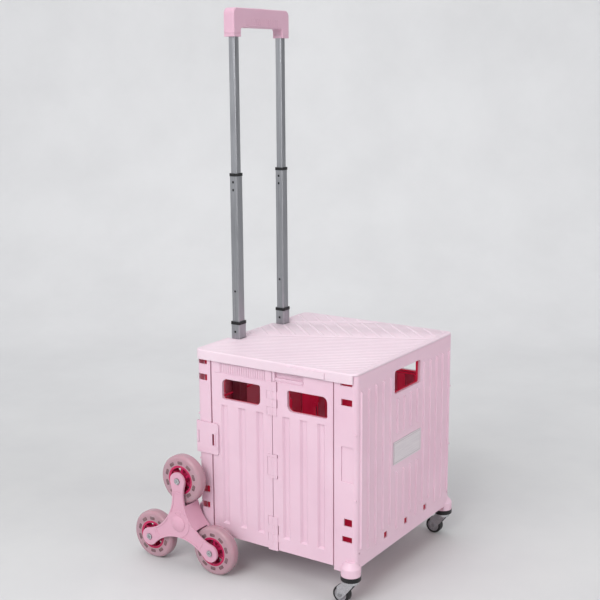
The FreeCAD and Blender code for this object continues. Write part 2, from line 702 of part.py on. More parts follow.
def grip():
    half, inner = grip_half_width, grip_half_width - leg_width
    outline = [(-half, grip_bottom), (-inner, grip_bottom), (-inner, bar_bottom), (inner, bar_bottom),
               (inner, grip_bottom), (half, grip_bottom), (half, grip_top), (-half, grip_top)]
    body = prism_y(outline, [0, 0, 6.0, 6.0, 0, 0, 12.0, 12.0], pole_y - grip_half_depth,
                   pole_y + grip_half_depth)
    edges = [e for e in body.Edges
             if e.BoundBox.YMax - e.BoundBox.YMin < 1e-6 and e.BoundBox.ZMax > grip_bottom + 1]
    body = body.makeFillet(2.6, edges)
    w, d = inner_tube_size
    cuts = []
    for x in (-pole_x, pole_x):
        cuts.append(prism_z(rectangle(x - w / 2, x + w / 2, pole_y - d / 2, pole_y + d / 2), 3.0,
                            grip_bottom - 1, grip_bottom + 21))
        # passage for the release rod, and a fine shadow line round the leg
        cuts.append(box(x - 5, x + 5, pole_y - 4, pole_y + 4, grip_bottom + 20, 1112.0))
        ring = box(x - 30, x + 30, pole_y - 20, pole_y + 20, grip_bottom + 6.0, grip_bottom + 6.8)
        leg_x = math.copysign(grip_half_width - leg_width / 2, x)
        core = prism_z(rectangle(leg_x - leg_width / 2 + 0.6, leg_x + leg_width / 2 - 0.6,
                                 pole_y - grip_half_depth + 0.6, pole_y + grip_half_depth - 0.6), 2.2,
                       grip_bottom + 5, grip_bottom + 8)
        cuts.append(ring.cut(core))
    cuts.append(box(-pole_x, pole_x, pole_y - 4, pole_y + 4, rod_z_level - 8, rod_z_level + 6))
    cuts.append(box(-button_half_length - 4, button_half_length + 4, pole_y - 8, pole_y + 8, rod_z_level - 9,
                    grip_top - 7))
    cuts.append(prism_z(rectangle(-button_half_length - play, button_half_length + play,
                                  pole_y - button_half_depth - play, pole_y + button_half_depth + play), 3.0,
                        grip_top - 12, grip_top + 2))
    body = body.cut(Part.makeCompound(cuts))
    ribs = []
    count = 18
    for i in range(count):
        x = -55.0 + i * 110.0 / (count - 1)
        for side in (-1, 1):
            y_face = pole_y + side * grip_half_depth
            ribs.append(box(x - 1.1, x + 1.1, y_face - side * 0.6, y_face + side * 0.7,
                            bar_bottom + 4, bar_bottom + 18))
    return fuse([body] + ribs)


def release_button():
    low = rod_z_level + release_rod_radius
    cap = prism_z(rectangle(-button_half_length, button_half_length, pole_y - button_half_depth,
                            pole_y + button_half_depth), 2.7, grip_top - 8, grip_top + 0.8)
    top = [e for e in cap.Edges if abs(e.BoundBox.ZMin - grip_top - 0.8) < 1e-4]
    cap = cap.makeFillet(1.2, top)
    foot = box(-button_half_length + 1, button_half_length - 1, pole_y - 3.5, pole_y + 3.5, low, grip_top - 7)
    seat = rod_z(2.0, 0, pole_y, rod_z_level - 2.5, low + 1)
    return fuse([cap, foot, seat])


def release_rods():
    """Two bent rods that run from under the button down inside the inner tubes."""
    r = release_rod_radius
    across = rod(r, (-pole_x, pole_y, rod_z_level), (1, 0, 0), pole_x - 8.0)
    down = rod_z(r, -pole_x, pole_y, inner_tube_bottom + 5, rod_z_level)
    elbow = Part.makeSphere(r, Vector(-pole_x, pole_y, rod_z_level))
    return both_sides(fuse([across, down, elbow]))


def button_spring():
    """Return spring under the button: rings stacked on one thin sleeve stand for the coils."""
    low, high = rod_z_level - 9, rod_z_level - 2.5
    coils = 4
    wire = 0.6
    step = (high - low - 2 * wire) / (coils - 1)
    rings = [Part.makeTorus(spring_radius - wire, wire, Vector(0, pole_y, low + wire + i * step))
             for i in range(coils)]
    sleeve = rod_z(spring_radius - wire + 0.2, 0, pole_y, low, high).cut(
        rod_z(spring_radius - wire - 0.2, 0, pole_y, low - 1, high + 1))
    return fuse([sleeve] + rings)


# ---------------------------------------------------------------- stars (made for the -X side)
arm_end_radius = 18.4
waist = 30.0
pocket_radius = 54.0


def star_outline(inset):
    """Three-armed plate outline in the YZ plane: long hollow curves between round arm ends."""
    end = arm_end_radius - inset
    edges = []

    def at(radial, sideways, angle):
        s, c = math.sin(angle), math.cos(angle)
        return Vector(0, star_hub_y + radial * s + sideways * c, star_hub_z + radial * c - sideways * s)

    drop = 4.0
    side = math.sqrt(end * end - drop * drop)
    turn = math.radians(120)
    for k in range(3):
        a = k * turn
        edges.append(Part.Arc(at(star_arm - drop, -side, a), at(star_arm + end, 0, a),
                              at(star_arm - drop, side, a)).toShape())
        edges.append(Part.Arc(at(star_arm - drop, side, a), at(waist - inset, 0, a + turn / 2),
                              at(star_arm - drop, -side, a + turn)).toShape())
    return Part.Face(Part.Wire(edges))


def arm_place(k):
    a = math.radians(120 * k)
    return star_hub_y + star_arm * math.sin(a), star_hub_z + star_arm * math.cos(a)


def star_slab(inset, x0, x1):
    face = star_outline(inset)
    face.translate(Vector(x0, 0, 0))
    return face.extrude(Vector(x1 - x0, 0, 0))


def star_body():
    """Back plate and the thick web between the wheels."""
    face_x = -star_outer_x + cover_thickness
    slab = star_slab(0, face_x, -star_inner_x)
    plate_x = -star_inner_x - back_plate_thickness
    cuts = [rod_x(star_axle_radius + pin_clearance, star_hub_y, star_hub_z, -260.0, -200.0)]
    for k in range(3):
        y, z = arm_place(k)
        cuts.append(rod_x(pocket_radius, y, z, face_x - 1, plate_x))
        cuts.append(rod_x(wheel_bolt_radius, y, z, plate_x - 1, -star_inner_x + 1))
    return slab.cut(Part.makeCompound(cuts))


def star_cover():
    """Outer plate, with a raised rim round a sunk panel on each arm."""
    outer_x = -star_outer_x
    slab = star_slab(0, outer_x, outer_x + cover_thickness)
    sunk = star_slab(3.2, outer_x - 1, outer_x + 1.2)
    ring = rod_x(66.0, star_hub_y, star_hub_z, outer_x - 2, outer_x + 3).cut(
        rod_x(28.0, star_hub_y, star_hub_z, outer_x - 3, outer_x + 4))
    line = rod_x(70.5, star_hub_y, star_hub_z, outer_x - 2, outer_x + 0.6).cut(
        rod_x(69.3, star_hub_y, star_hub_z, outer_x - 3, outer_x + 1))
    line = line.common(star_slab(3.2, outer_x - 1, outer_x + 0.6))
    cuts = [sunk.common(ring), line,
            rod_x(9.0, star_hub_y, star_hub_z, outer_x - 1, outer_x + cover_thickness + 1)]
    for k in range(3):
        y, z = arm_place(k)
        cuts.append(rod_x(wheel_bolt_radius + 0.1, y, z, outer_x - 1, outer_x + cover_thickness + 1))
        cuts.append(rod_x(7.2, y, z, outer_x - 1, outer_x + 1.6))
    for dy in (-6.5, 5.0):
        cuts.append(rod_x(2.1, star_hub_y + dy, star_hub_z + 21.5, outer_x - 1, outer_x + 1.0))
    return slab.cut(Part.makeCompound(cuts))


def hub_cap():
    outer_x = -star_outer_x
    dome = Part.makeSphere(34.0, Vector(outer_x - 5.4 + 34.0, star_hub_y, star_hub_z))
    disc = rod_x(17.0, star_hub_y, star_hub_z, outer_x - 6, outer_x)
    plug = rod_x(9.0, star_hub_y, star_hub_z, outer_x, outer_x + 2.5)
    return disc.common(dome).fuse(plug).removeSplitter()


def wheel_bolts():
    """The three wheel bolts of one star: socket heads outside, shanks through the wheels into the back plate."""
    bolts = []
    outer_x = -star_outer_x
    for k in range(3):
        y, z = arm_place(k)
        head = rod_x(6.3, y, z, outer_x - 1.4, outer_x + 1.6)
        shank = rod_x(wheel_bolt_radius, y, z, outer_x + 1.6, -star_inner_x)
        socket = prism_x([(y + 2.9 * math.cos(math.radians(60 * i)), z + 2.9 * math.sin(math.radians(60 * i)))
                          for i in range(6)], 0, outer_x - 2, outer_x + 0.6)
        bolts.append(fuse([head, shank]).cut(socket))
    return bolts


def wheel_core():
    """Spoked wheel core with a windowed flange that the tyre is moulded over; axis along X at the origin."""
    half = 11.5
    hub = rod_x(13.0, 0, 0, -17.0, 17.0)
    rim = rod_x(core_radius, 0, 0, -half, half).cut(rod_x(25.5, 0, 0, -half - 1, half + 1))
    lips = [rod_x(core_radius + 1.2, 0, 0, s * half, s * (half + 0.8)).cut(
        rod_x(26.2, 0, 0, s * (half - 1), s * (half + 2))) for s in (-1, 1)]
    spokes = []
    spoke_count = 6
    for i in range(spoke_count):
        bar = box(-7.0, 7.0, -2.6, 2.6, 11.0, 27.0)
        bar.rotate(Vector(0, 0, 0), Vector(1, 0, 0), i * 360.0 / spoke_count)
        spokes.append(bar)
    flange = rod_x(42.5, 0, 0, -5.0, 5.0).cut(rod_x(core_radius - 1, 0, 0, -6, 6))
    windows = []
    window_count = 10
    for i in range(window_count):
        window = prism_x(rectangle(-6.8, 6.8, 32.6, 39.8), 1.8, -7.0, 7.0)
        window.rotate(Vector(0, 0, 0), Vector(1, 0, 0), i * 360.0 / window_count)
        windows.append(window)
    flange = flange.cut(Part.makeCompound(windows))
    core = fuse([hub, rim, flange] + spokes + lips)
    return core.cut(rod_x(wheel_bolt_radius + pin_clearance, 0, 0, -20, 20))


def wheel_tyre(core):
    """Round-shouldered tyre moulded over the core; axis along X at the origin."""
    half = 12.0
    profile = rounded_wire([(-half, core_radius - 1), (-half, 45.0), (-7.0, tyre_radius), (7.0, tyre_radius),
                            (half, 45.0), (half, core_radius - 1)], [0, 7.0, 7.0, 7.0, 7.0, 0], in_xy)
    solid = Part.Face(profile).revolve(Vector(0, 0, 0), Vector(1, 0, 0), 360)
    solid = solid.cut(rod_x(core_radius, 0, 0, -20, 20))
    return solid.cut(core)


# ---------------------------------------------------------------- casters (made for the -X side)
def caster_fork():
    """Pressed steel fork: round head under the collar, two cheeks that sweep back to the axle."""
    x, y = -caster_x, caster_y
    axle_y = y + caster_trail
    head = rod_z(15.5, x, y, 44.0, collar_bottom - play)
    cheeks = []
    outline = [(y - 10.5, 46.0), (y - 9.0, 40.0), (axle_y - 7.5, 14.0), (axle_y, 8.5), (axle_y + 7.5, 14.0),
               (axle_y + 6.5, 34.0), (y + 12.0, 46.0)]
    for x0 in (x - 10.6, x + 9.0):
        cheeks.append(prism_x(outline, [0, 4.0, 6.0, 3.0, 5.0, 6.0, 0], x0, x0 + 1.6))
    bridge = box(x - 10.6, x + 10.6, y - 10.0, y + 11.0, 42.5, 46.0)
    fork = fuse([head, bridge] + cheeks)
    cuts = [rod_z(stem_radius + pin_clearance, x, y, 30.0, 60.0),
            rod_x(2.5, axle_y, caster_radius, x - 14, x + 14)]
    return fork.cut(Part.makeCompound(cuts))


def caster_axle():
    y = caster_y + caster_trail
    shank = rod_x(2.5, y, caster_radius, -caster_x - 11.2, -caster_x + 11.2)
    heads = [rod_x(4.2, y, caster_radius, -caster_x + s * 10.6, -caster_x + s * 12.0) for s in (-1, 1)]
    return fuse([shank] + heads)


def caster_core():
    y = caster_y + caster_trail
    x = -caster_x
    body = rod_x(13.0, y, caster_radius, x - 7.0, x + 7.0)
    rings = [rod_x(11.6, y, caster_radius, x + s * 4.0, x + s * 8.0).cut(
        rod_x(6.2, y, caster_radius, x + s * 3.0, x + s * 9.0)) for s in (-1, 1)]
    hub = rod_x(5.0, y, caster_radius, x - 8.4, x + 8.4)
    bore = rod_x(2.5 + pin_clearance, y, caster_radius, x - 10, x + 10)
    return fuse([body.cut(Part.makeCompound(rings)), hub]).cut(bore)


def caster_tyre():
    y = caster_y + caster_trail
    half = 8.0
    profile = rounded_wire([(-half, 13.0), (-half, caster_radius), (half, caster_radius), (half, 13.0)],
                           [0, 2.6, 2.6, 0], in_xy)
    tyre = Part.Face(profile).revolve(Vector(0, 0, 0), Vector(1, 0, 0), 360)
    tyre.translate(Vector(-caster_x, y, caster_radius))
    return tyre


def caster_stems():
    return both_sides(rod_z(stem_radius, -caster_x, caster_y, 40.5, 84.0))


def caster_collars():
    """Black bearing housings between the cups and the forks."""
    ring = rod_z(collar_radius, -caster_x, caster_y, collar_bottom, socket_bottom)
    edges = [e for e in ring.Edges if abs(e.BoundBox.ZMax - collar_bottom) < 1e-4]
    ring = ring.makeFillet(2.0, edges).cut(rod_z(stem_radius, -caster_x, caster_y, 40.0, 62.0))
    return both_sides(ring)


def star_axle():
    reach = star_outer_x - 3.0
    return rod_x(star_axle_radius, star_hub_y, star_hub_z, -reach, reach)


# ---------------------------------------------------------------- export
def export(name, shape):
    """Writes one node; a list of solids becomes one node of separate solids."""
    if isinstance(shape, (list, tuple)):
        shape = Part.makeCompound(list(shape))
    moved = shape.copy()
    moved.translate(Vector(0, y_shift, 0))
    solids = moved.Solids
    if not solids or not moved.isValid():
        print("CHECK", name, "solids", len(solids), "valid", moved.isValid())
    if len(solids) == 1:
        moved = solids[0]
    moved.exportStep("parts/%s.step" % name)


def pair(name, shape):
    """Writes a left piece, and its mirror image as the right one."""
    export("left_" + name, shape)
    if isinstance(shape, (list, tuple)):
        export("right_" + name, [mirrored(s) for s in shape])
    else:
        export("right_" + name, mirrored(shape))


def main():
    os.makedirs("parts", exist_ok=True)
    export("rear_panel", rear_panel())
    export("front_panel", front_panel())
    pair("rear_leaf", left_rear_leaf())
    pair("front_leaf", left_front_leaf())
    pair("leaf_pins", leaf_pins())
    export("tube_saddles", tube_saddles())
    export("axle_brackets", axle_brackets())
    export("rear_pins", rear_pins())
    export("front_pins", front_pins())
    export("nameplate", nameplate())
    export("base_plate", base_plate())
    export("lid", lid())
    pair("latch", left_latch())
    for side, x in (("left", -pole_x), ("right", pole_x)):
        export(side + "_outer_tube", outer_tube(x))
        export(side + "_middle_tube", middle_tube(x))
        export(side + "_inner_tube", inner_tube(x))
    export("outer_tube_collars", collars(outer_tube_size, middle_tube_size, outer_tube_top))
    export("middle_tube_collars", collars(middle_tube_size, inner_tube_size, middle_tube_top))
    export("grip", grip())
    export("release_button", release_button())
    export("release_rods", release_rods())
    export("button_spring", button_spring())
    export("star_axle", star_axle())
    pair("star_body", star_body())
    pair("star_cover", star_cover())
    pair("hub_cap", hub_cap())
    pair("wheel_bolts", wheel_bolts())
    core = wheel_core()
    tyre = wheel_tyre(core)
    for k in range(3):
        y, z = arm_place(k)
        place = Vector(-wheel_middle_x, y, z)
        for name, shape in (("star_core", core), ("star_tyre", tyre)):
            moved = shape.copy()
            moved.translate(place)
            pair("%s_%d" % (name, k + 1), moved)
    pair("caster_fork", caster_fork())
    pair("caster_axle", caster_axle())
    pair("caster_core", caster_core())
    pair("caster_tyre", caster_tyre())
    export("caster_stems", caster_stems())
    export("caster_collars", caster_collars())


main()
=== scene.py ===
import json
import math

import bmesh
import bpy
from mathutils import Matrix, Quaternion, Vector


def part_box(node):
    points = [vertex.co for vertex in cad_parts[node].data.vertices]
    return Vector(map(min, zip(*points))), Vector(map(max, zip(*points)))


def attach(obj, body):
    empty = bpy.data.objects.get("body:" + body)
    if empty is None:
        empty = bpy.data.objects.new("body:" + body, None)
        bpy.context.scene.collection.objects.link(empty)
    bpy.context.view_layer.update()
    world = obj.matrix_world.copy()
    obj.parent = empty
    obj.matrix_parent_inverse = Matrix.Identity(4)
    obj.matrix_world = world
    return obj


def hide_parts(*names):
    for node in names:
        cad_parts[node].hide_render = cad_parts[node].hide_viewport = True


# Looks of the folding stair climbing trolley. Metres, in the CAD frame: +Z up, the front panel faces -Y.

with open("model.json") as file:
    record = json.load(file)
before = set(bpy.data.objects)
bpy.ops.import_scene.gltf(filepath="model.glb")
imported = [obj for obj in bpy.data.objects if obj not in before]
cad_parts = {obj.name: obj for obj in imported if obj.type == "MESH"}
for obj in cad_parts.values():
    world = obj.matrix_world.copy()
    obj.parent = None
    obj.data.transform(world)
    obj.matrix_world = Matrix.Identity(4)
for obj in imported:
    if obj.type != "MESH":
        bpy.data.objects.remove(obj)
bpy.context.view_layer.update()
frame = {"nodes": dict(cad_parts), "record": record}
nodes = frame["nodes"]
SIDES = ("left", "right")
MM = 0.001

# the crate's walls: outer faces of the front panel, behind its nameplate, and of the rear wall
panel_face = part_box("nameplate")[1].y
crate_depth = 376 * MM
rear_face = panel_face + crate_depth
lid_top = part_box("lid")[1].z
crate_y = (panel_face + rear_face) / 2

# where the outer skins of the crate end, in metres: each pair is a short fade from skin to inside, where the
# painted shade and glow go
SIDE_SKIN = (0.1925, 0.1940)
WALL_SKIN = (0.0050, 0.0065)
LID_SKIN = (0.4562, 0.4568)
TRAY_SKIN = (0.0655, 0.0665)


# ---------------------------------------------------------------- shader helpers
class Shader:
    """One node material, with short calls for the nodes used here. Textures use object metres."""

    def __init__(self, name):
        self.material = bpy.data.materials.new(name)
        self.material.use_nodes = True
        self.tree = self.material.node_tree
        self.surface = self.tree.nodes["Principled BSDF"]
        self.coords = self.tree.nodes.new("ShaderNodeTexCoord").outputs["Object"]

    def node(self, kind, **settings):
        made = self.tree.nodes.new(kind)
        for key, value in settings.items():
            setattr(made, key, value)
        return made

    def link(self, source, target):
        self.tree.links.new(source, target)

    def put(self, target, value):
        """Sets an input to a plain value, or links a node's output to it."""
        if isinstance(value, bpy.types.NodeSocket):
            self.link(value, target)
        else:
            target.default_value = value

    def stretched(self, scale):
        mapping = self.node("ShaderNodeMapping")
        self.link(self.coords, mapping.inputs["Vector"])
        mapping.inputs["Scale"].default_value = scale
        return mapping.outputs["Vector"]

    def noise(self, scale, detail=3.0, roughness=0.5, coords=None):
        made = self.node("ShaderNodeTexNoise")
        self.link(coords or self.coords, made.inputs["Vector"])
        made.inputs["Scale"].default_value = scale
        made.inputs["Detail"].default_value = detail
        made.inputs["Roughness"].default_value = roughness
        return made.outputs["Fac"]

    def remap(self, value, low, high, to_low=0.0, to_high=1.0):
        made = self.node("ShaderNodeMapRange", clamp=True)
        self.link(value, made.inputs["Value"])
        for key, number in (("From Min", low), ("From Max", high), ("To Min", to_low), ("To Max", to_high)):
            made.inputs[key].default_value = number
        return made.outputs["Result"]

    def math(self, operation, a, b=0.0):
        made = self.node("ShaderNodeMath", operation=operation)
        self.put(made.inputs[0], a)
        self.put(made.inputs[1], b)
        return made.outputs["Value"]

    def blend(self, factor, a, b, mode="MIX"):
        made = self.node("ShaderNodeMix", data_type="RGBA", blend_type=mode)
        self.put(made.inputs["Factor"], factor)
        self.put(made.inputs["A"], a)
        self.put(made.inputs["B"], b)
        return made.outputs["Result"]

    def edges(self, radius, low, high):
        """1 on edges and in corners, 0 on open faces: where the rounded normal leaves the true one."""
        bevel = self.node("ShaderNodeBevel", samples=6)
        bevel.inputs["Radius"].default_value = radius
        geometry = self.node("ShaderNodeNewGeometry")
        dot = self.node("ShaderNodeVectorMath", operation="DOT_PRODUCT")
        self.link(bevel.outputs["Normal"], dot.inputs[0])
        self.link(geometry.outputs["Normal"], dot.inputs[1])
        return self.remap(dot.outputs["Value"], high, low, 0.0, 1.0)

    def rounded_normal(self, radius):
        bevel = self.node("ShaderNodeBevel", samples=6)
        bevel.inputs["Radius"].default_value = radius
        return bevel.outputs["Normal"]

    def axis(self, letter):
        """One of the object coordinates, in metres."""
        if not hasattr(self, "split"):
            self.split = self.node("ShaderNodeSeparateXYZ")
            self.link(self.coords, self.split.inputs[0])
        return self.split.outputs[letter]

    def inside_crate(self):
        """1 behind the outer skins of the walls, the tray and the lid, 0 on what faces out: it places the
        painted inner shade and glow.
        """
        skin, inside = WALL_SKIN
        width = self.remap(self.math("ABSOLUTE", self.axis("X")), *SIDE_SKIN, 1.0, 0.0)
        front = self.remap(self.axis("Y"), panel_face + skin, panel_face + inside)
        rear = self.remap(self.axis("Y"), rear_face - inside, rear_face - skin, 1.0, 0.0)
        top = self.remap(self.axis("Z"), *LID_SKIN, 1.0, 0.0)
        floor = self.remap(self.axis("Z"), *TRAY_SKIN)
        mask = self.math("MULTIPLY", self.math("MULTIPLY", width, front), self.math("MULTIPLY", rear, top))
        return self.math("MULTIPLY", mask, floor)

    def bump(self, layers, normal=None):
        """Stacks bumps: each layer is (height output, strength, distance in metres)."""
        for height, strength, distance in layers:
            made = self.node("ShaderNodeBump")
            self.link(height, made.inputs["Height"])
            made.inputs["Strength"].default_value = strength
            made.inputs["Distance"].default_value = distance
            if normal is not None:
                self.link(normal, made.inputs["Normal"])
            normal = made.outputs["Normal"]
        self.link(normal, self.surface.inputs["Normal"])

    def set(self, **values):
        for key, value in values.items():
            self.put(self.surface.inputs[key.replace("_", " ")], value)


def colour(red, green, blue):
    """A display colour, 0 to 255, as the linear colour that shaders work in."""
    def linear(c):
        c /= 255
        return c / 12.92 if c <= 0.04045 else ((c + 0.055) / 1.055) ** 2.4
    return (linear(red), linear(green), linear(blue), 1.0)


# ---------------------------------------------------------------- materials
# painted shade: the dark red given to the crate's inner faces
INNER_SHADE_RED = (150, 22, 48)


def moulded_plastic(name, base, shade, sheen_and_rub_colour, roughness, rounding=0.8 * MM, glow=0.06, walls=False):
    """Satin moulded plastic: cloudy colour, fine grain, faint flow marks, and edges painted a little paler, a
    painted highlight with a little rub in it.

    walls: the inner faces of the crate get a painted dark red shade and a painted red glow, though nothing
    there is a lamp. They stand in for the red seen through the windows, the light that comes through the pink
    walls and is shaded inside the crate, and they show wherever those faces are uncovered. This stands in for
    the red seen through the windows, whatever its cause, and it shows wherever those faces are uncovered.
    """
    s = Shader(name)
    cloud = s.remap(s.noise(9.0, 4.0), 0.35, 0.7)
    speck = s.remap(s.noise(420.0, 2.0), 0.55, 0.8)
    tone = s.blend(cloud, base, shade)
    tone = s.blend(s.math("MULTIPLY", speck, 0.10), tone, shade)
    # painted highlight: edges and corners blend in noisy patches towards the paler edge colour
    rim = s.edges(1.1 * MM, 0.80, 0.985)
    sheen_and_rub = s.math("MULTIPLY", rim, s.remap(s.noise(38.0, 4.0), 0.35, 0.75, 0.12, 0.55))
    tone = s.blend(sheen_and_rub, tone, sheen_and_rub_colour)
    if walls:
        inner = s.inside_crate()
        # painted shade: the inner faces blend to dark red by the inside mask
        inner_shade = s.blend(s.remap(s.noise(14.0, 3.0), 0.3, 0.7), colour(*INNER_SHADE_RED), colour(128, 14, 38))
        tone = s.blend(inner, tone, inner_shade)
        # painted glow: the inner faces give off red light, though they are no lamp
        s.put(s.surface.inputs["Emission Color"], s.blend(inner, (0.0, 0.0, 0.0, 1.0), inner_shade))
        s.set(Emission_Strength=0.8)
    s.put(s.surface.inputs["Base Color"], tone)
    scuff = s.remap(s.noise(26.0, 6.0, 0.65, s.stretched((1.0, 1.0, 0.35))), 0.45, 0.75, 0.0, 0.10)
    s.put(s.surface.inputs["Roughness"], s.math("ADD", s.remap(s.noise(60.0, 3.0), 0.3, 0.7, roughness - 0.05,
                                                               roughness + 0.05), scuff))
    s.set(Subsurface_Weight=glow, Subsurface_Scale=0.004, Specular_IOR_Level=0.42)
    s.surface.inputs["Subsurface Radius"].default_value = (1.0, 0.45, 0.55)
    s.bump([(s.noise(5.0, 3.0), 0.25, 0.6 * MM), (s.noise(1400.0, 2.0), 0.22, 0.05 * MM)],
           s.rounded_normal(rounding))
    return s.material


def satin_aluminium(name):
    """Drawn tube: fine lines along the length, with cloudy roughness and a few rub marks."""
    s = Shader(name)
    lines = s.noise(900.0, 3.0, 0.6, s.stretched((1.0, 1.0, 0.012)))
    rub = s.remap(s.noise(70.0, 5.0, 0.6, s.stretched((1.0, 1.0, 0.15))), 0.5, 0.75)
    tone = s.blend(s.remap(lines, 0.3, 0.7), colour(150, 151, 155), colour(176, 177, 181))
    tone = s.blend(s.math("MULTIPLY", rub, 0.35), tone, colour(128, 129, 134))
    s.put(s.surface.inputs["Base Color"], tone)
    s.put(s.surface.inputs["Roughness"], s.remap(lines, 0.25, 0.75, 0.26, 0.42))
    s.set(Metallic=0.92, Anisotropic=0.35)
    s.bump([(lines, 0.12, 0.03 * MM)], s.rounded_normal(0.5 * MM))
    return s.material


def plated_steel(name, base, roughness):
    """Zinc or nickel plate: faint mottling, fine scratches, and painted shade that darkens edges and corners.
    """
    s = Shader(name)
    mottle = s.remap(s.noise(240.0, 5.0), 0.3, 0.7)
    scratch = s.noise(1600.0, 2.0, 0.5, s.stretched((0.06, 1.0, 1.0)))
    dark = tuple(c * 0.6 for c in base[:3]) + (1.0,)
    tone = s.blend(s.math("MULTIPLY", mottle, 0.5), base, dark)
    # painted shade: edges and corners blend towards the darker colour
    corners = s.math("MULTIPLY", s.edges(0.5 * MM, 0.8, 0.98), 0.3)
    s.put(s.surface.inputs["Base Color"], s.blend(corners, tone, dark))
    s.put(s.surface.inputs["Roughness"], s.remap(scratch, 0.3, 0.7, roughness - 0.05, roughness + 0.1))
    s.set(Metallic=1.0)
    s.bump([(scratch, 0.08, 0.02 * MM), (mottle, 0.06, 0.05 * MM)], s.rounded_normal(0.4 * MM))
    return s.material


def black_rubber(name, tone_low, tone_high, roughness):
    """Dark rubber or plastic: dusty, with fine grain."""
    s = Shader(name)
    dust = s.remap(s.noise(90.0, 6.0, 0.6), 0.42, 0.75)
    s.put(s.surface.inputs["Base Color"], s.blend(dust, tone_low, tone_high))
    s.put(s.surface.inputs["Roughness"], s.remap(dust, 0.0, 1.0, roughness, roughness + 0.2))
    s.set(Specular_IOR_Level=0.4)
    s.bump([(s.noise(1800.0, 3.0), 0.3, 0.05 * MM), (s.noise(150.0, 3.0), 0.1, 0.1 * MM)],
           s.rounded_normal(0.5 * MM))
    return s.material


def clear_tyre(name):
    """Soft see-through tyre: cloudy pink resin, with faint greyer rub patches scattered over it."""
    s = Shader(name)
    cloud = s.remap(s.noise(30.0, 3.0), 0.3, 0.7)
    rub = s.remap(s.noise(120.0, 4.0, 0.55), 0.5, 0.8)
    tone = s.blend(cloud, colour(206, 164, 176), colour(196, 160, 170))
    s.put(s.surface.inputs["Base Color"], s.blend(s.math("MULTIPLY", rub, 0.3), tone, colour(186, 166, 170)))
    s.put(s.surface.inputs["Roughness"], s.remap(rub, 0.0, 1.0, 0.16, 0.3))
    s.set(Transmission_Weight=0.30, IOR=1.42, Subsurface_Weight=0.35, Subsurface_Scale=0.006)
    s.surface.inputs["Subsurface Radius"].default_value = (1.0, 0.5, 0.6)
    s.bump([(s.noise(500.0, 2.0), 0.06, 0.04 * MM)])
    return s.material


def shaded_window_cells(name):
    """The core's windows as they look through the tyre: painted shade of the hollow cells, soft edged and
    glossy.
    """
    s = Shader(name)
    cloud = s.remap(s.noise(80.0, 3.0), 0.3, 0.7)
    s.put(s.surface.inputs["Base Color"], s.blend(cloud, colour(128, 96, 102), colour(108, 82, 88)))
    s.put(s.surface.inputs["Roughness"], s.remap(cloud, 0.0, 1.0, 0.15, 0.28))
    s.set(Subsurface_Weight=0.2, Subsurface_Scale=0.003)
    s.bump([(s.noise(500.0, 2.0), 0.06, 0.04 * MM)])
    return s.material


def printed_plate(name):
    """Near-white name plate, blank, with a faint satin grain and a fine border line."""
    s = Shader(name)
    low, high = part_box("nameplate")
    half_x, half_z, middle_z = (high.x - low.x) / 2, (high.z - low.z) / 2, (high.z + low.z) / 2
    margin, line_half = 3.4 * MM, 0.45 * MM
    grain = s.noise(700.0, 2.0, 0.5, s.stretched((0.05, 1.0, 1.0)))
    tone = s.blend(s.remap(grain, 0.3, 0.7), colour(212, 204, 208), colour(203, 194, 199))
    across = s.math("SUBTRACT", s.math("ABSOLUTE", s.axis("X")), half_x - margin)
    from_middle = s.math("ABSOLUTE", s.math("SUBTRACT", s.axis("Z"), middle_z))
    upright = s.math("SUBTRACT", from_middle, half_z - margin)
    outline = s.math("ABSOLUTE", s.math("MAXIMUM", across, upright))
    border = s.remap(outline, line_half, line_half * 2, 1.0, 0.0)
    faded = s.math("MULTIPLY", border, 0.7)
    s.put(s.surface.inputs["Base Color"], s.blend(faded, tone, colour(168, 150, 158)))
    s.put(s.surface.inputs["Roughness"], s.remap(grain, 0.3, 0.7, 0.3, 0.42))
    s.set(Metallic=0.15)
    s.bump([(grain, 0.15, 0.02 * MM), (border, 0.4, 0.1 * MM)], s.rounded_normal(0.4 * MM))
    return s.material


def painted_slot_shade(name):
    """Painted shade: the dark red that stands for the shade seen in the latches' slots."""
    s = Shader(name)
    s.put(s.surface.inputs["Base Color"], s.blend(s.remap(s.noise(90.0, 3.0), 0.3, 0.7), colour(140, 22, 60),
                                                  colour(112, 14, 44)))
    s.put(s.surface.inputs["Roughness"], s.remap(s.noise(300.0, 3.0), 0.3, 0.7, 0.4, 0.6))
    s.bump([(s.noise(900.0, 3.0), 0.2, 0.05 * MM)])
    return s.material


# each: base colour, cloud tone, and the paler edge colour that paints a highlight on edges and corners
SIDE_PINK = (colour(222, 190, 205), colour(217, 183, 199), colour(232, 205, 217))
LID_PINK = (colour(224, 203, 213), colour(219, 197, 208), colour(232, 214, 223))
GRIP_PINK = (colour(208, 168, 186), colour(202, 160, 179), colour(222, 190, 205))
STAR_PINK = (colour(211, 163, 182), colour(205, 154, 174), colour(226, 186, 202))
CORE_PINK = (colour(196, 38, 92), colour(172, 24, 74), colour(236, 96, 146))
CASTER_GREY = (colour(176, 172, 177), colour(160, 156, 162), colour(206, 204, 208))

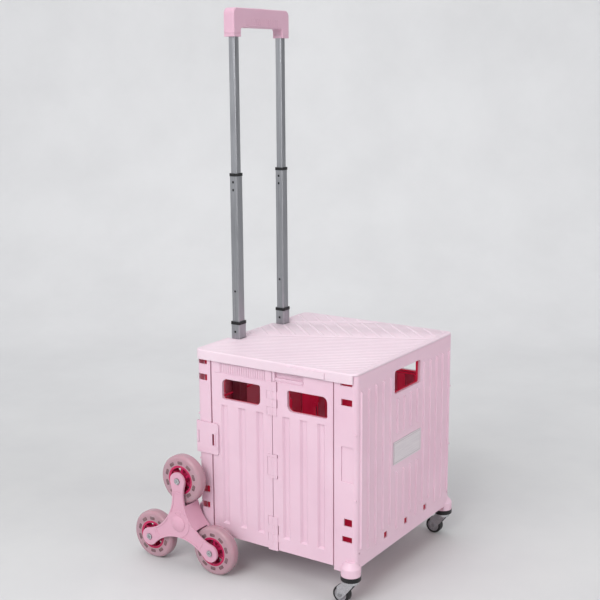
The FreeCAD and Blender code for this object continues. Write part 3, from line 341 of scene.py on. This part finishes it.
MATERIALS = {
    "side_plastic": moulded_plastic("pink_plastic", *SIDE_PINK, 0.42, walls=True),
    "lid_plastic": moulded_plastic("pale_pink_plastic", *LID_PINK, 0.45, walls=True),
    "grip_plastic": moulded_plastic("grip_pink_plastic", *GRIP_PINK, 0.42),
    "star_plastic": moulded_plastic("star_pink_plastic", *STAR_PINK, 0.38),
    "star_core_plastic": moulded_plastic("core_pink_plastic", *CORE_PINK, 0.2),
    "star_tyre_rubber": clear_tyre("clear_pink_tyre"),
    "tube_aluminium": satin_aluminium("satin_aluminium"),
    "steel": plated_steel("zinc_steel", colour(168, 168, 170), 0.34),
    "bright_steel": plated_steel("bright_steel", colour(206, 207, 210), 0.22),
    "black_plastic": black_rubber("black_plastic", colour(16, 16, 18), colour(38, 37, 39), 0.38),
    "caster_rubber": black_rubber("black_rubber", colour(20, 20, 21), colour(52, 50, 51), 0.5),
    "caster_core_plastic": moulded_plastic("pale_grey_plastic", *CASTER_GREY, 0.35),
    "nameplate_plastic": printed_plate("pale_plate"),
}
WINDOW_CELL_SHADE = shaded_window_cells("shaded_window_cells")
SLOT_SHADE = painted_slot_shade("painted_slot_shade")

for part in frame["record"]["subparts"]:
    mesh = nodes[part["node"]].data
    mesh.materials.clear()
    mesh.materials.append(MATERIALS[part["material_slot"]])


# ---------------------------------------------------------------- mesh helpers
def add_piece(name, mesh, body, slot, material=None):
    """Makes an object of a mesh, gives it its slot's material or another, and lets it ride on a body."""
    piece = bpy.data.objects.new(name, mesh)
    bpy.context.scene.collection.objects.link(piece)
    mesh.materials.clear()
    mesh.materials.append(material or MATERIALS[slot])
    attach(piece, body)
    return piece


def smooth_faces(mesh, angle):
    """Smooth shading, kept sharp where faces meet at more than the angle in degrees."""
    mesh.shade_smooth()
    mesh.set_sharp_from_angle(angle=math.radians(angle))


def solid_mesh(name, verts, faces):
    """Mesh with its faces turned outwards."""
    mesh = bpy.data.meshes.new(name)
    mesh.from_pydata(verts, [], faces)
    bm = bmesh.new()
    bm.from_mesh(mesh)
    bmesh.ops.recalc_face_normals(bm, faces=bm.faces)
    bm.to_mesh(mesh)
    bm.free()
    return mesh


def rounded_loop(half_u, half_v, radius, steps=5):
    """Corner points of a rounded rectangle about the origin."""
    points = []
    for quarter, (su, sv) in enumerate(((1, 1), (-1, 1), (-1, -1), (1, -1))):
        for i in range(steps + 1):
            a = math.pi / 2 * (quarter + i / steps)
            u = su * (half_u - radius) + radius * math.cos(a)
            v = sv * (half_v - radius) + radius * math.sin(a)
            points.append((u, v))
    return points


def pad(place, half_u, half_v, radius, thickness, edge=0.3 * MM):
    """Verts and faces of a thin rounded pad with a chamfered top: place turns (u, v, height) into a point."""
    verts, faces = [], []
    rings = [(0.0, 0.0), (0.0, thickness - edge), (edge, thickness)]
    count = len(rounded_loop(half_u, half_v, radius))
    for inset, height in rings:
        loop = rounded_loop(half_u - inset, half_v - inset, max(radius - inset, 0.05 * MM))
        verts += [place(u, v, height) for u, v in loop]
    for r in range(len(rings) - 1):
        for i in range(count):
            j = (i + 1) % count
            faces.append((r * count + i, r * count + j, (r + 1) * count + j, (r + 1) * count + i))
    faces.append(tuple(range(count))[::-1])
    faces.append(tuple(range((len(rings) - 1) * count, len(rings) * count)))
    return verts, faces


def joined(parts):
    """Puts several (verts, faces) together into one list of each."""
    verts, faces = [], []
    for more_verts, more_faces in parts:
        start = len(verts)
        verts += more_verts
        faces += [tuple(start + i for i in face) for face in more_faces]
    return verts, faces


def lathe(profile, centre, steps=96):
    """Closed ring about an X axis through centre: profile is a closed loop of (x, radius) points."""
    verts, faces = [], []
    count = len(profile)
    for i in range(steps):
        a = 2 * math.pi * i / steps
        for x, r in profile:
            verts.append((centre.x + x, centre.y + r * math.sin(a), centre.z + r * math.cos(a)))
    for i in range(steps):
        for j in range(count):
            a, b = i * count + j, i * count + (j + 1) % count
            c, d = ((i + 1) % steps) * count + (j + 1) % count, ((i + 1) % steps) * count + j
            faces.append((a, b, c, d))
    return solid_mesh("ring", verts, faces)


# ---------------------------------------------------------------- stair wheels
def stair_tyre(side, k):
    """Round-shouldered see-through tyre, in place of the plain one."""
    node = "%s_star_tyre_%d" % (side, k)
    low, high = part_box(node)
    centre = (low + high) / 2
    half, outer = (high.x - low.x) / 2, (high.z - low.z) / 2
    inner = outer * 0.57
    shoulder = half * 0.62
    arc = [(half - shoulder + shoulder * math.cos(a), outer - shoulder + shoulder * math.sin(a))
           for a in (math.pi / 2 * i / 10 for i in range(11))]
    wall = [(half, inner + (outer - shoulder - inner) * t) for t in (0.0, 0.06, 0.5)]
    right = wall + arc
    left = [(-x, r) for x, r in reversed(right)]
    mesh = lathe(right + left, centre)
    smooth_faces(mesh, 40)
    body = "%s_star_wheel_%d" % (side, k)
    piece = add_piece("%s_stair_tyre_%d" % (side, k), mesh, body, "star_tyre_rubber")
    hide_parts(node)


def wheel_windows(side, k):
    """Dark pads of painted shade for the window cells, round the tyre's two sides."""
    low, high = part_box("%s_star_tyre_%d" % (side, k))
    centre = (low + high) / 2
    half, outer = (high.x - low.x) / 2, (high.z - low.z) / 2
    middle, cells = outer * 0.705, 10
    parts = []
    for face in (-1, 1):
        for i in range(cells):
            a = 2 * math.pi * i / cells

            def place(u, v, height):
                y = v * math.cos(a) + (middle + u) * math.sin(a)
                z = (middle + u) * math.cos(a) - v * math.sin(a)
                return (centre.x + face * (half - 0.7 * MM + height), centre.y + y, centre.z + z)

            parts.append(pad(place, 3.5 * MM, 6.4 * MM, 2.2 * MM, 0.9 * MM))
    mesh = solid_mesh("windows", *joined(parts))
    smooth_faces(mesh, 50)
    body = "%s_star_wheel_%d" % (side, k)
    add_piece("%s_wheel_windows_%d" % (side, k), mesh, body, "star_tyre_rubber", WINDOW_CELL_SHADE)


for side in SIDES:
    for k in (1, 2, 3):
        stair_tyre(side, k)
        wheel_windows(side, k)


# ---------------------------------------------------------------- lid relief
# The lid's top has a slanted step at each pole. Places are in millimetres from the crate's middle.
FIELD_X = (-194.0, 194.0)
FIELD_Y = (-179.0, 184.0)
STEP_1 = ((-56.2, 170.0), (118.3, -179.7))
STEP_2 = ((92.7, 158.3), (185.5, 0.0))
NOTCH_EDGE = 154.0
NOTCH_X = (65.0, 98.0)
STEP_HEIGHT = 0.9
RIB_WIDTH = 7.0
RIDGE_PITCH = 12.0
RIB_PITCH = 28.2
RIB_ANGLE = math.radians(47.5)
RIB_START = (5.7, 48.1)
RIB_HEIGHT = 1.5
RIDGE_HEIGHT = 0.65
GAP_BELOW_STEP = 5.0
GAP_ABOVE_STEP = 6.0


def on_lid(x, y, height):
    return (x * MM, crate_y + y * MM, lid_top + height * MM)


def beyond(line, x, y):
    """How far a point lies past a line, towards the lid's far corner."""
    (ax, ay), (bx, by) = line
    length = math.hypot(bx - ax, by - ay)
    return ((bx - ax) * (y - ay) - (by - ay) * (x - ax)) / length


def x_on(line, y):
    (ax, ay), (bx, by) = line
    return ax + (bx - ax) * (y - ay) / (by - ay)


def in_field(x, y):
    if not (FIELD_X[0] < x < FIELD_X[1] and FIELD_Y[0] < y < FIELD_Y[1]):
        return False
    return y < NOTCH_EDGE or not NOTCH_X[0] < abs(x) < NOTCH_X[1]


def raised_level(points, low, high, slope=1.4):
    """Flat plateau with sloped sides: points go round it anticlockwise."""
    count = len(points)
    inner = []
    for i in range(count):
        ax, ay = points[i - 1]
        px, py = points[i]
        bx, by = points[(i + 1) % count]
        la, lb = math.hypot(px - ax, py - ay), math.hypot(bx - px, by - py)
        na = (-(py - ay) / la, (px - ax) / la)
        nb = (-(by - py) / lb, (bx - px) / lb)
        scale = slope / (1 + na[0] * nb[0] + na[1] * nb[1])
        inner.append((px + (na[0] + nb[0]) * scale, py + (na[1] + nb[1]) * scale))
    verts = [on_lid(x, y, low) for x, y in points] + [on_lid(x, y, high) for x, y in inner]
    faces = [(i, (i + 1) % count, count + (i + 1) % count, count + i) for i in range(count)]
    faces.append(tuple(range(count, 2 * count)))
    faces.append(tuple(reversed(range(count))))
    return verts, faces


def ridge(start, end, width, low, height):
    """Rounded rib from start to end with tapered tips, on the level low."""
    dx, dy = end[0] - start[0], end[1] - start[1]
    length = math.hypot(dx, dy)
    ux, uy = dx / length, dy / length
    across = 8
    tip = [(0.0, 0.12), (0.35 * width, 0.7), (0.8 * width, 1.0)]
    stations = tip + [(length - along, rise) for along, rise in reversed(tip)]
    verts, faces = [], []
    for along, rise in stations:
        for i in range(across + 1):
            a = math.pi * i / across
            side = -math.cos(a) * width / 2 * (0.55 + 0.45 * rise)
            top = math.sin(a) * height * rise
            x = start[0] + ux * along - uy * side
            y = start[1] + uy * along + ux * side
            verts.append(on_lid(x, y, low + top))
    row = across + 1
    for s in range(len(stations) - 1):
        for i in range(row):
            j = (i + 1) % row
            faces.append((s * row + i, s * row + j, (s + 1) * row + j, (s + 1) * row + i))
    faces.append(tuple(range(row)))
    faces.append(tuple(range((len(stations) - 1) * row, len(stations) * row))[::-1])
    return verts, faces


def runs(origin, direction, allowed, shortest=16.0, step=1.0, reach=520):
    """Stretches of a line that lie where they are allowed to."""
    found, start, last = [], None, None
    for i in range(-reach, reach + 1):
        x, y = origin[0] + direction[0] * i * step, origin[1] + direction[1] * i * step
        if in_field(x, y) and allowed(x, y):
            start = start or (x, y)
            last = (x, y)
        elif start:
            if math.hypot(last[0] - start[0], last[1] - start[1]) > shortest:
                found.append((start, last))
            start = None
    return found


def lid_relief():
    sunk = -0.3
    back, front, right = FIELD_Y[1], FIELD_Y[0], FIELD_X[1]
    near_side, far_side = NOTCH_X
    notch = [(far_side, back), (far_side, NOTCH_EDGE), (near_side, NOTCH_EDGE), (near_side, back)]
    band = [(x_on(STEP_1, front), front), (right, front), (right, back), *notch, (x_on(STEP_1, back), back)]
    (ax, ay), (bx, by) = STEP_2
    slant = (ay - by) / (bx - ax)
    edge_y = ay - (right - ax) * slant
    beside_notch = far_side + 1
    notch_y = ay - (beside_notch - ax) * slant
    far = [(right, edge_y), (right, back), (beside_notch, back), (beside_notch, notch_y)]
    parts = [raised_level(band, sunk, STEP_HEIGHT), raised_level(far, sunk, 2 * STEP_HEIGHT)]

    # soft ridges on the near part, along the step
    (ax, ay), (bx, by) = STEP_1
    length = math.hypot(bx - ax, by - ay)
    along = ((bx - ax) / length, (by - ay) / length)
    away = (along[1], -along[0])
    for i in range(1, 32):
        offset = i * RIDGE_PITCH
        origin = (ax + away[0] * offset, ay + away[1] * offset)
        for start, end in runs(origin, along, lambda x, y: beyond(STEP_1, x, y) < -GAP_BELOW_STEP):
            parts.append(ridge(start, end, RIB_WIDTH, sunk, RIDGE_HEIGHT - sunk))

    # bold ribs across the two upper levels
    def on_band(x, y):
        return beyond(STEP_1, x, y) > GAP_ABOVE_STEP and beyond(STEP_2, x, y) < -GAP_BELOW_STEP

    def on_far(x, y):
        return beyond(STEP_2, x, y) > GAP_ABOVE_STEP

    along = (math.cos(RIB_ANGLE), math.sin(RIB_ANGLE))
    away = (along[1], -along[0])
    for i in range(-4, 12):
        offset = i * RIB_PITCH
        origin = (RIB_START[0] + away[0] * offset, RIB_START[1] + away[1] * offset)
        for level, allowed in ((1, on_band), (2, on_far)):
            for start, end in runs(origin, along, allowed):
                parts.append(ridge(start, end, RIB_WIDTH, level * STEP_HEIGHT + sunk, RIB_HEIGHT))
    mesh = solid_mesh("lid_relief", *joined(parts))
    smooth_faces(mesh, 55)
    add_piece("lid_relief", mesh, "lid", "lid_plastic")


lid_relief()


# ---------------------------------------------------------------- small fittings
def pole_pads():
    """Black spring buttons in the holes on the poles' left faces."""
    half = 2.3 * MM
    outer_holes = (474.5,)
    middle_holes = (786.0, 770.0)
    rows = (("outer_tube", "rear", outer_holes), ("middle_tube", "handle_middle", middle_holes))
    for node, body, levels in rows:
        parts = []
        for side in SIDES:
            low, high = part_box("%s_%s" % (side, node))
            middle_y = (low.y + high.y) / 2
            for level in levels:
                def place(u, v, height):
                    return (low.x + 0.7 * MM - height, middle_y + u, level * MM + v)

                parts.append(pad(place, half, half, 0.8 * MM, 0.5 * MM, 0.2 * MM))
        mesh = solid_mesh("pads", *joined(parts))
        smooth_faces(mesh, 40)
        add_piece(body + "_lock_buttons", mesh, body, "black_plastic")


def latch_slot_shades():
    """Thin dark red sheets of painted shade on the rear leaves, behind the slots of the latches."""
    for side, sign in (("left", -1), ("right", 1)):
        low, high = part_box(side + "_latch")
        face = 200.0 * MM
        slot_in, slot_drop = 13.5 * MM, 2.25 * MM
        middle_y = low.y + slot_in
        middle_z = (low.z + high.z) / 2 - slot_drop

        def place(u, v, height):
            return (sign * (face + height), middle_y + u, middle_z + v)

        mesh = solid_mesh("slot_shade_sheet", *pad(place, 3.2 * MM, 13.2 * MM, 0.8 * MM, 0.3 * MM, 0.1 * MM))
        add_piece(side + "_latch_slot_shade", mesh, side + "_rear_leaf", "side_plastic", SLOT_SHADE)


pole_pads()
latch_slot_shades()


# ---------------------------------------------------------------- floor, light and camera
def studio_floor():
    """Plain pale floor that curves up into a plain back wall."""
    mesh = bpy.data.meshes.new("studio_floor")
    near, bend, radius, high = -6.0, 1.6, 1.2, 6.0
    profile = [(near, 0.0), (bend, 0.0)]
    for i in range(1, 17):
        a = math.pi / 2 * i / 16
        profile.append((bend + radius * math.sin(a), radius - radius * math.cos(a)))
    profile.append((bend + radius, high))
    direction = Vector((math.sin(VIEW_YAW), math.cos(VIEW_YAW), 0))
    across = Vector((math.cos(VIEW_YAW), -math.sin(VIEW_YAW), 0))
    verts, faces = [], []
    for along, height in profile:
        for side in (-8.0, 8.0):
            verts.append(direction * along + across * side + Vector((0, 0, height)))
    for i in range(len(profile) - 1):
        faces.append((2 * i, 2 * i + 1, 2 * i + 3, 2 * i + 2))
    mesh.from_pydata(verts, [], faces)
    mesh.shade_smooth()
    floor = bpy.data.objects.new("studio_floor", mesh)
    bpy.context.scene.collection.objects.link(floor)
    s = Shader("pale_floor")
    patch = s.remap(s.noise(3.0, 6.0, 0.6), 0.35, 0.7)
    ground = s.blend(patch, colour(206, 206, 206), colour(200, 200, 201))
    wall = s.blend(patch, colour(224, 224, 225), colour(218, 218, 219))
    rise = s.remap(s.math("ADD", s.math("MULTIPLY", s.axis("X"), direction.x),
                          s.math("MULTIPLY", s.axis("Y"), direction.y)), 0.3, 1.7)
    s.put(s.surface.inputs["Base Color"], s.blend(rise, ground, wall))
    s.set(Roughness=0.7, Specular_IOR_Level=0.2)
    s.bump([(s.noise(40.0, 6.0, 0.6), 0.2, 1.0 * MM)])
    mesh.materials.append(s.material)


def area_light(name, position, target, size, power):
    data = bpy.data.lights.new(name, "AREA")
    data.shape = "RECTANGLE"
    data.size, data.size_y = size
    data.energy = power
    light = bpy.data.objects.new(name, data)
    light.location = position
    light.rotation_euler = (Vector(target) - Vector(position)).to_track_quat("-Z", "Y").to_euler()
    bpy.context.scene.collection.objects.link(light)


# camera, from the crate's front panel: to the left of it, in front of it and above the lid
VIEW_YAW = math.radians(56.42)
VIEW_PITCH = math.radians(11.73)
VIEW_ROLL = math.radians(-0.37)
camera_place = Vector((-1.8859, crate_y - 1.1833, lid_top + 0.5468))


def product_camera():
    data = bpy.data.cameras.new("camera")
    data.lens = 66.23
    data.sensor_width = 36.0
    camera = bpy.data.objects.new("camera", data)
    bpy.context.scene.collection.objects.link(camera)
    ahead = Vector((math.sin(VIEW_YAW) * math.cos(VIEW_PITCH), math.cos(VIEW_YAW) * math.cos(VIEW_PITCH),
                    -math.sin(VIEW_PITCH)))
    turn = ahead.to_track_quat("-Z", "Y") @ Quaternion((0.0, 0.0, 1.0), VIEW_ROLL)
    camera.rotation_mode = "QUATERNION"
    camera.rotation_quaternion = turn
    camera.location = camera_place
    bpy.context.scene.camera = camera


studio_floor()
product_camera()
area_light("key", (-2.9, -0.3, 2.4), (0, 0, 0.4), (2.0, 2.0), 73)
area_light("fill", (0.2, -3.0, 1.3), (0, 0, 0.3), (2.2, 1.6), 32)
area_light("top", (0.3, 0.3, 3.2), (0, 0, 0.3), (2.4, 2.4), 22)


def studio_world():
    """Soft surround that is bright to the left and behind, and dim to the right and in front."""
    world = bpy.data.worlds.new("studio")
    world.use_nodes = True
    tree = world.node_tree
    coords = tree.nodes.new("ShaderNodeTexCoord")
    towards = tree.nodes.new("ShaderNodeVectorMath")
    towards.operation = "DOT_PRODUCT"
    towards.inputs[1].default_value = (-0.83, 0.55, 0.05)
    tree.links.new(coords.outputs["Generated"], towards.inputs[0])
    ramp = tree.nodes.new("ShaderNodeMapRange")
    for key, number in (("From Min", -0.9), ("From Max", 0.9), ("To Min", 0.16), ("To Max", 0.95)):
        ramp.inputs[key].default_value = number
    tree.links.new(towards.outputs["Value"], ramp.inputs["Value"])
    background = tree.nodes["Background"]
    background.inputs["Color"].default_value = (0.93, 0.94, 0.96, 1.0)
    tree.links.new(ramp.outputs["Result"], background.inputs["Strength"])
    bpy.context.scene.world = world


studio_world()
bpy.context.scene.view_settings.view_transform = "Standard"
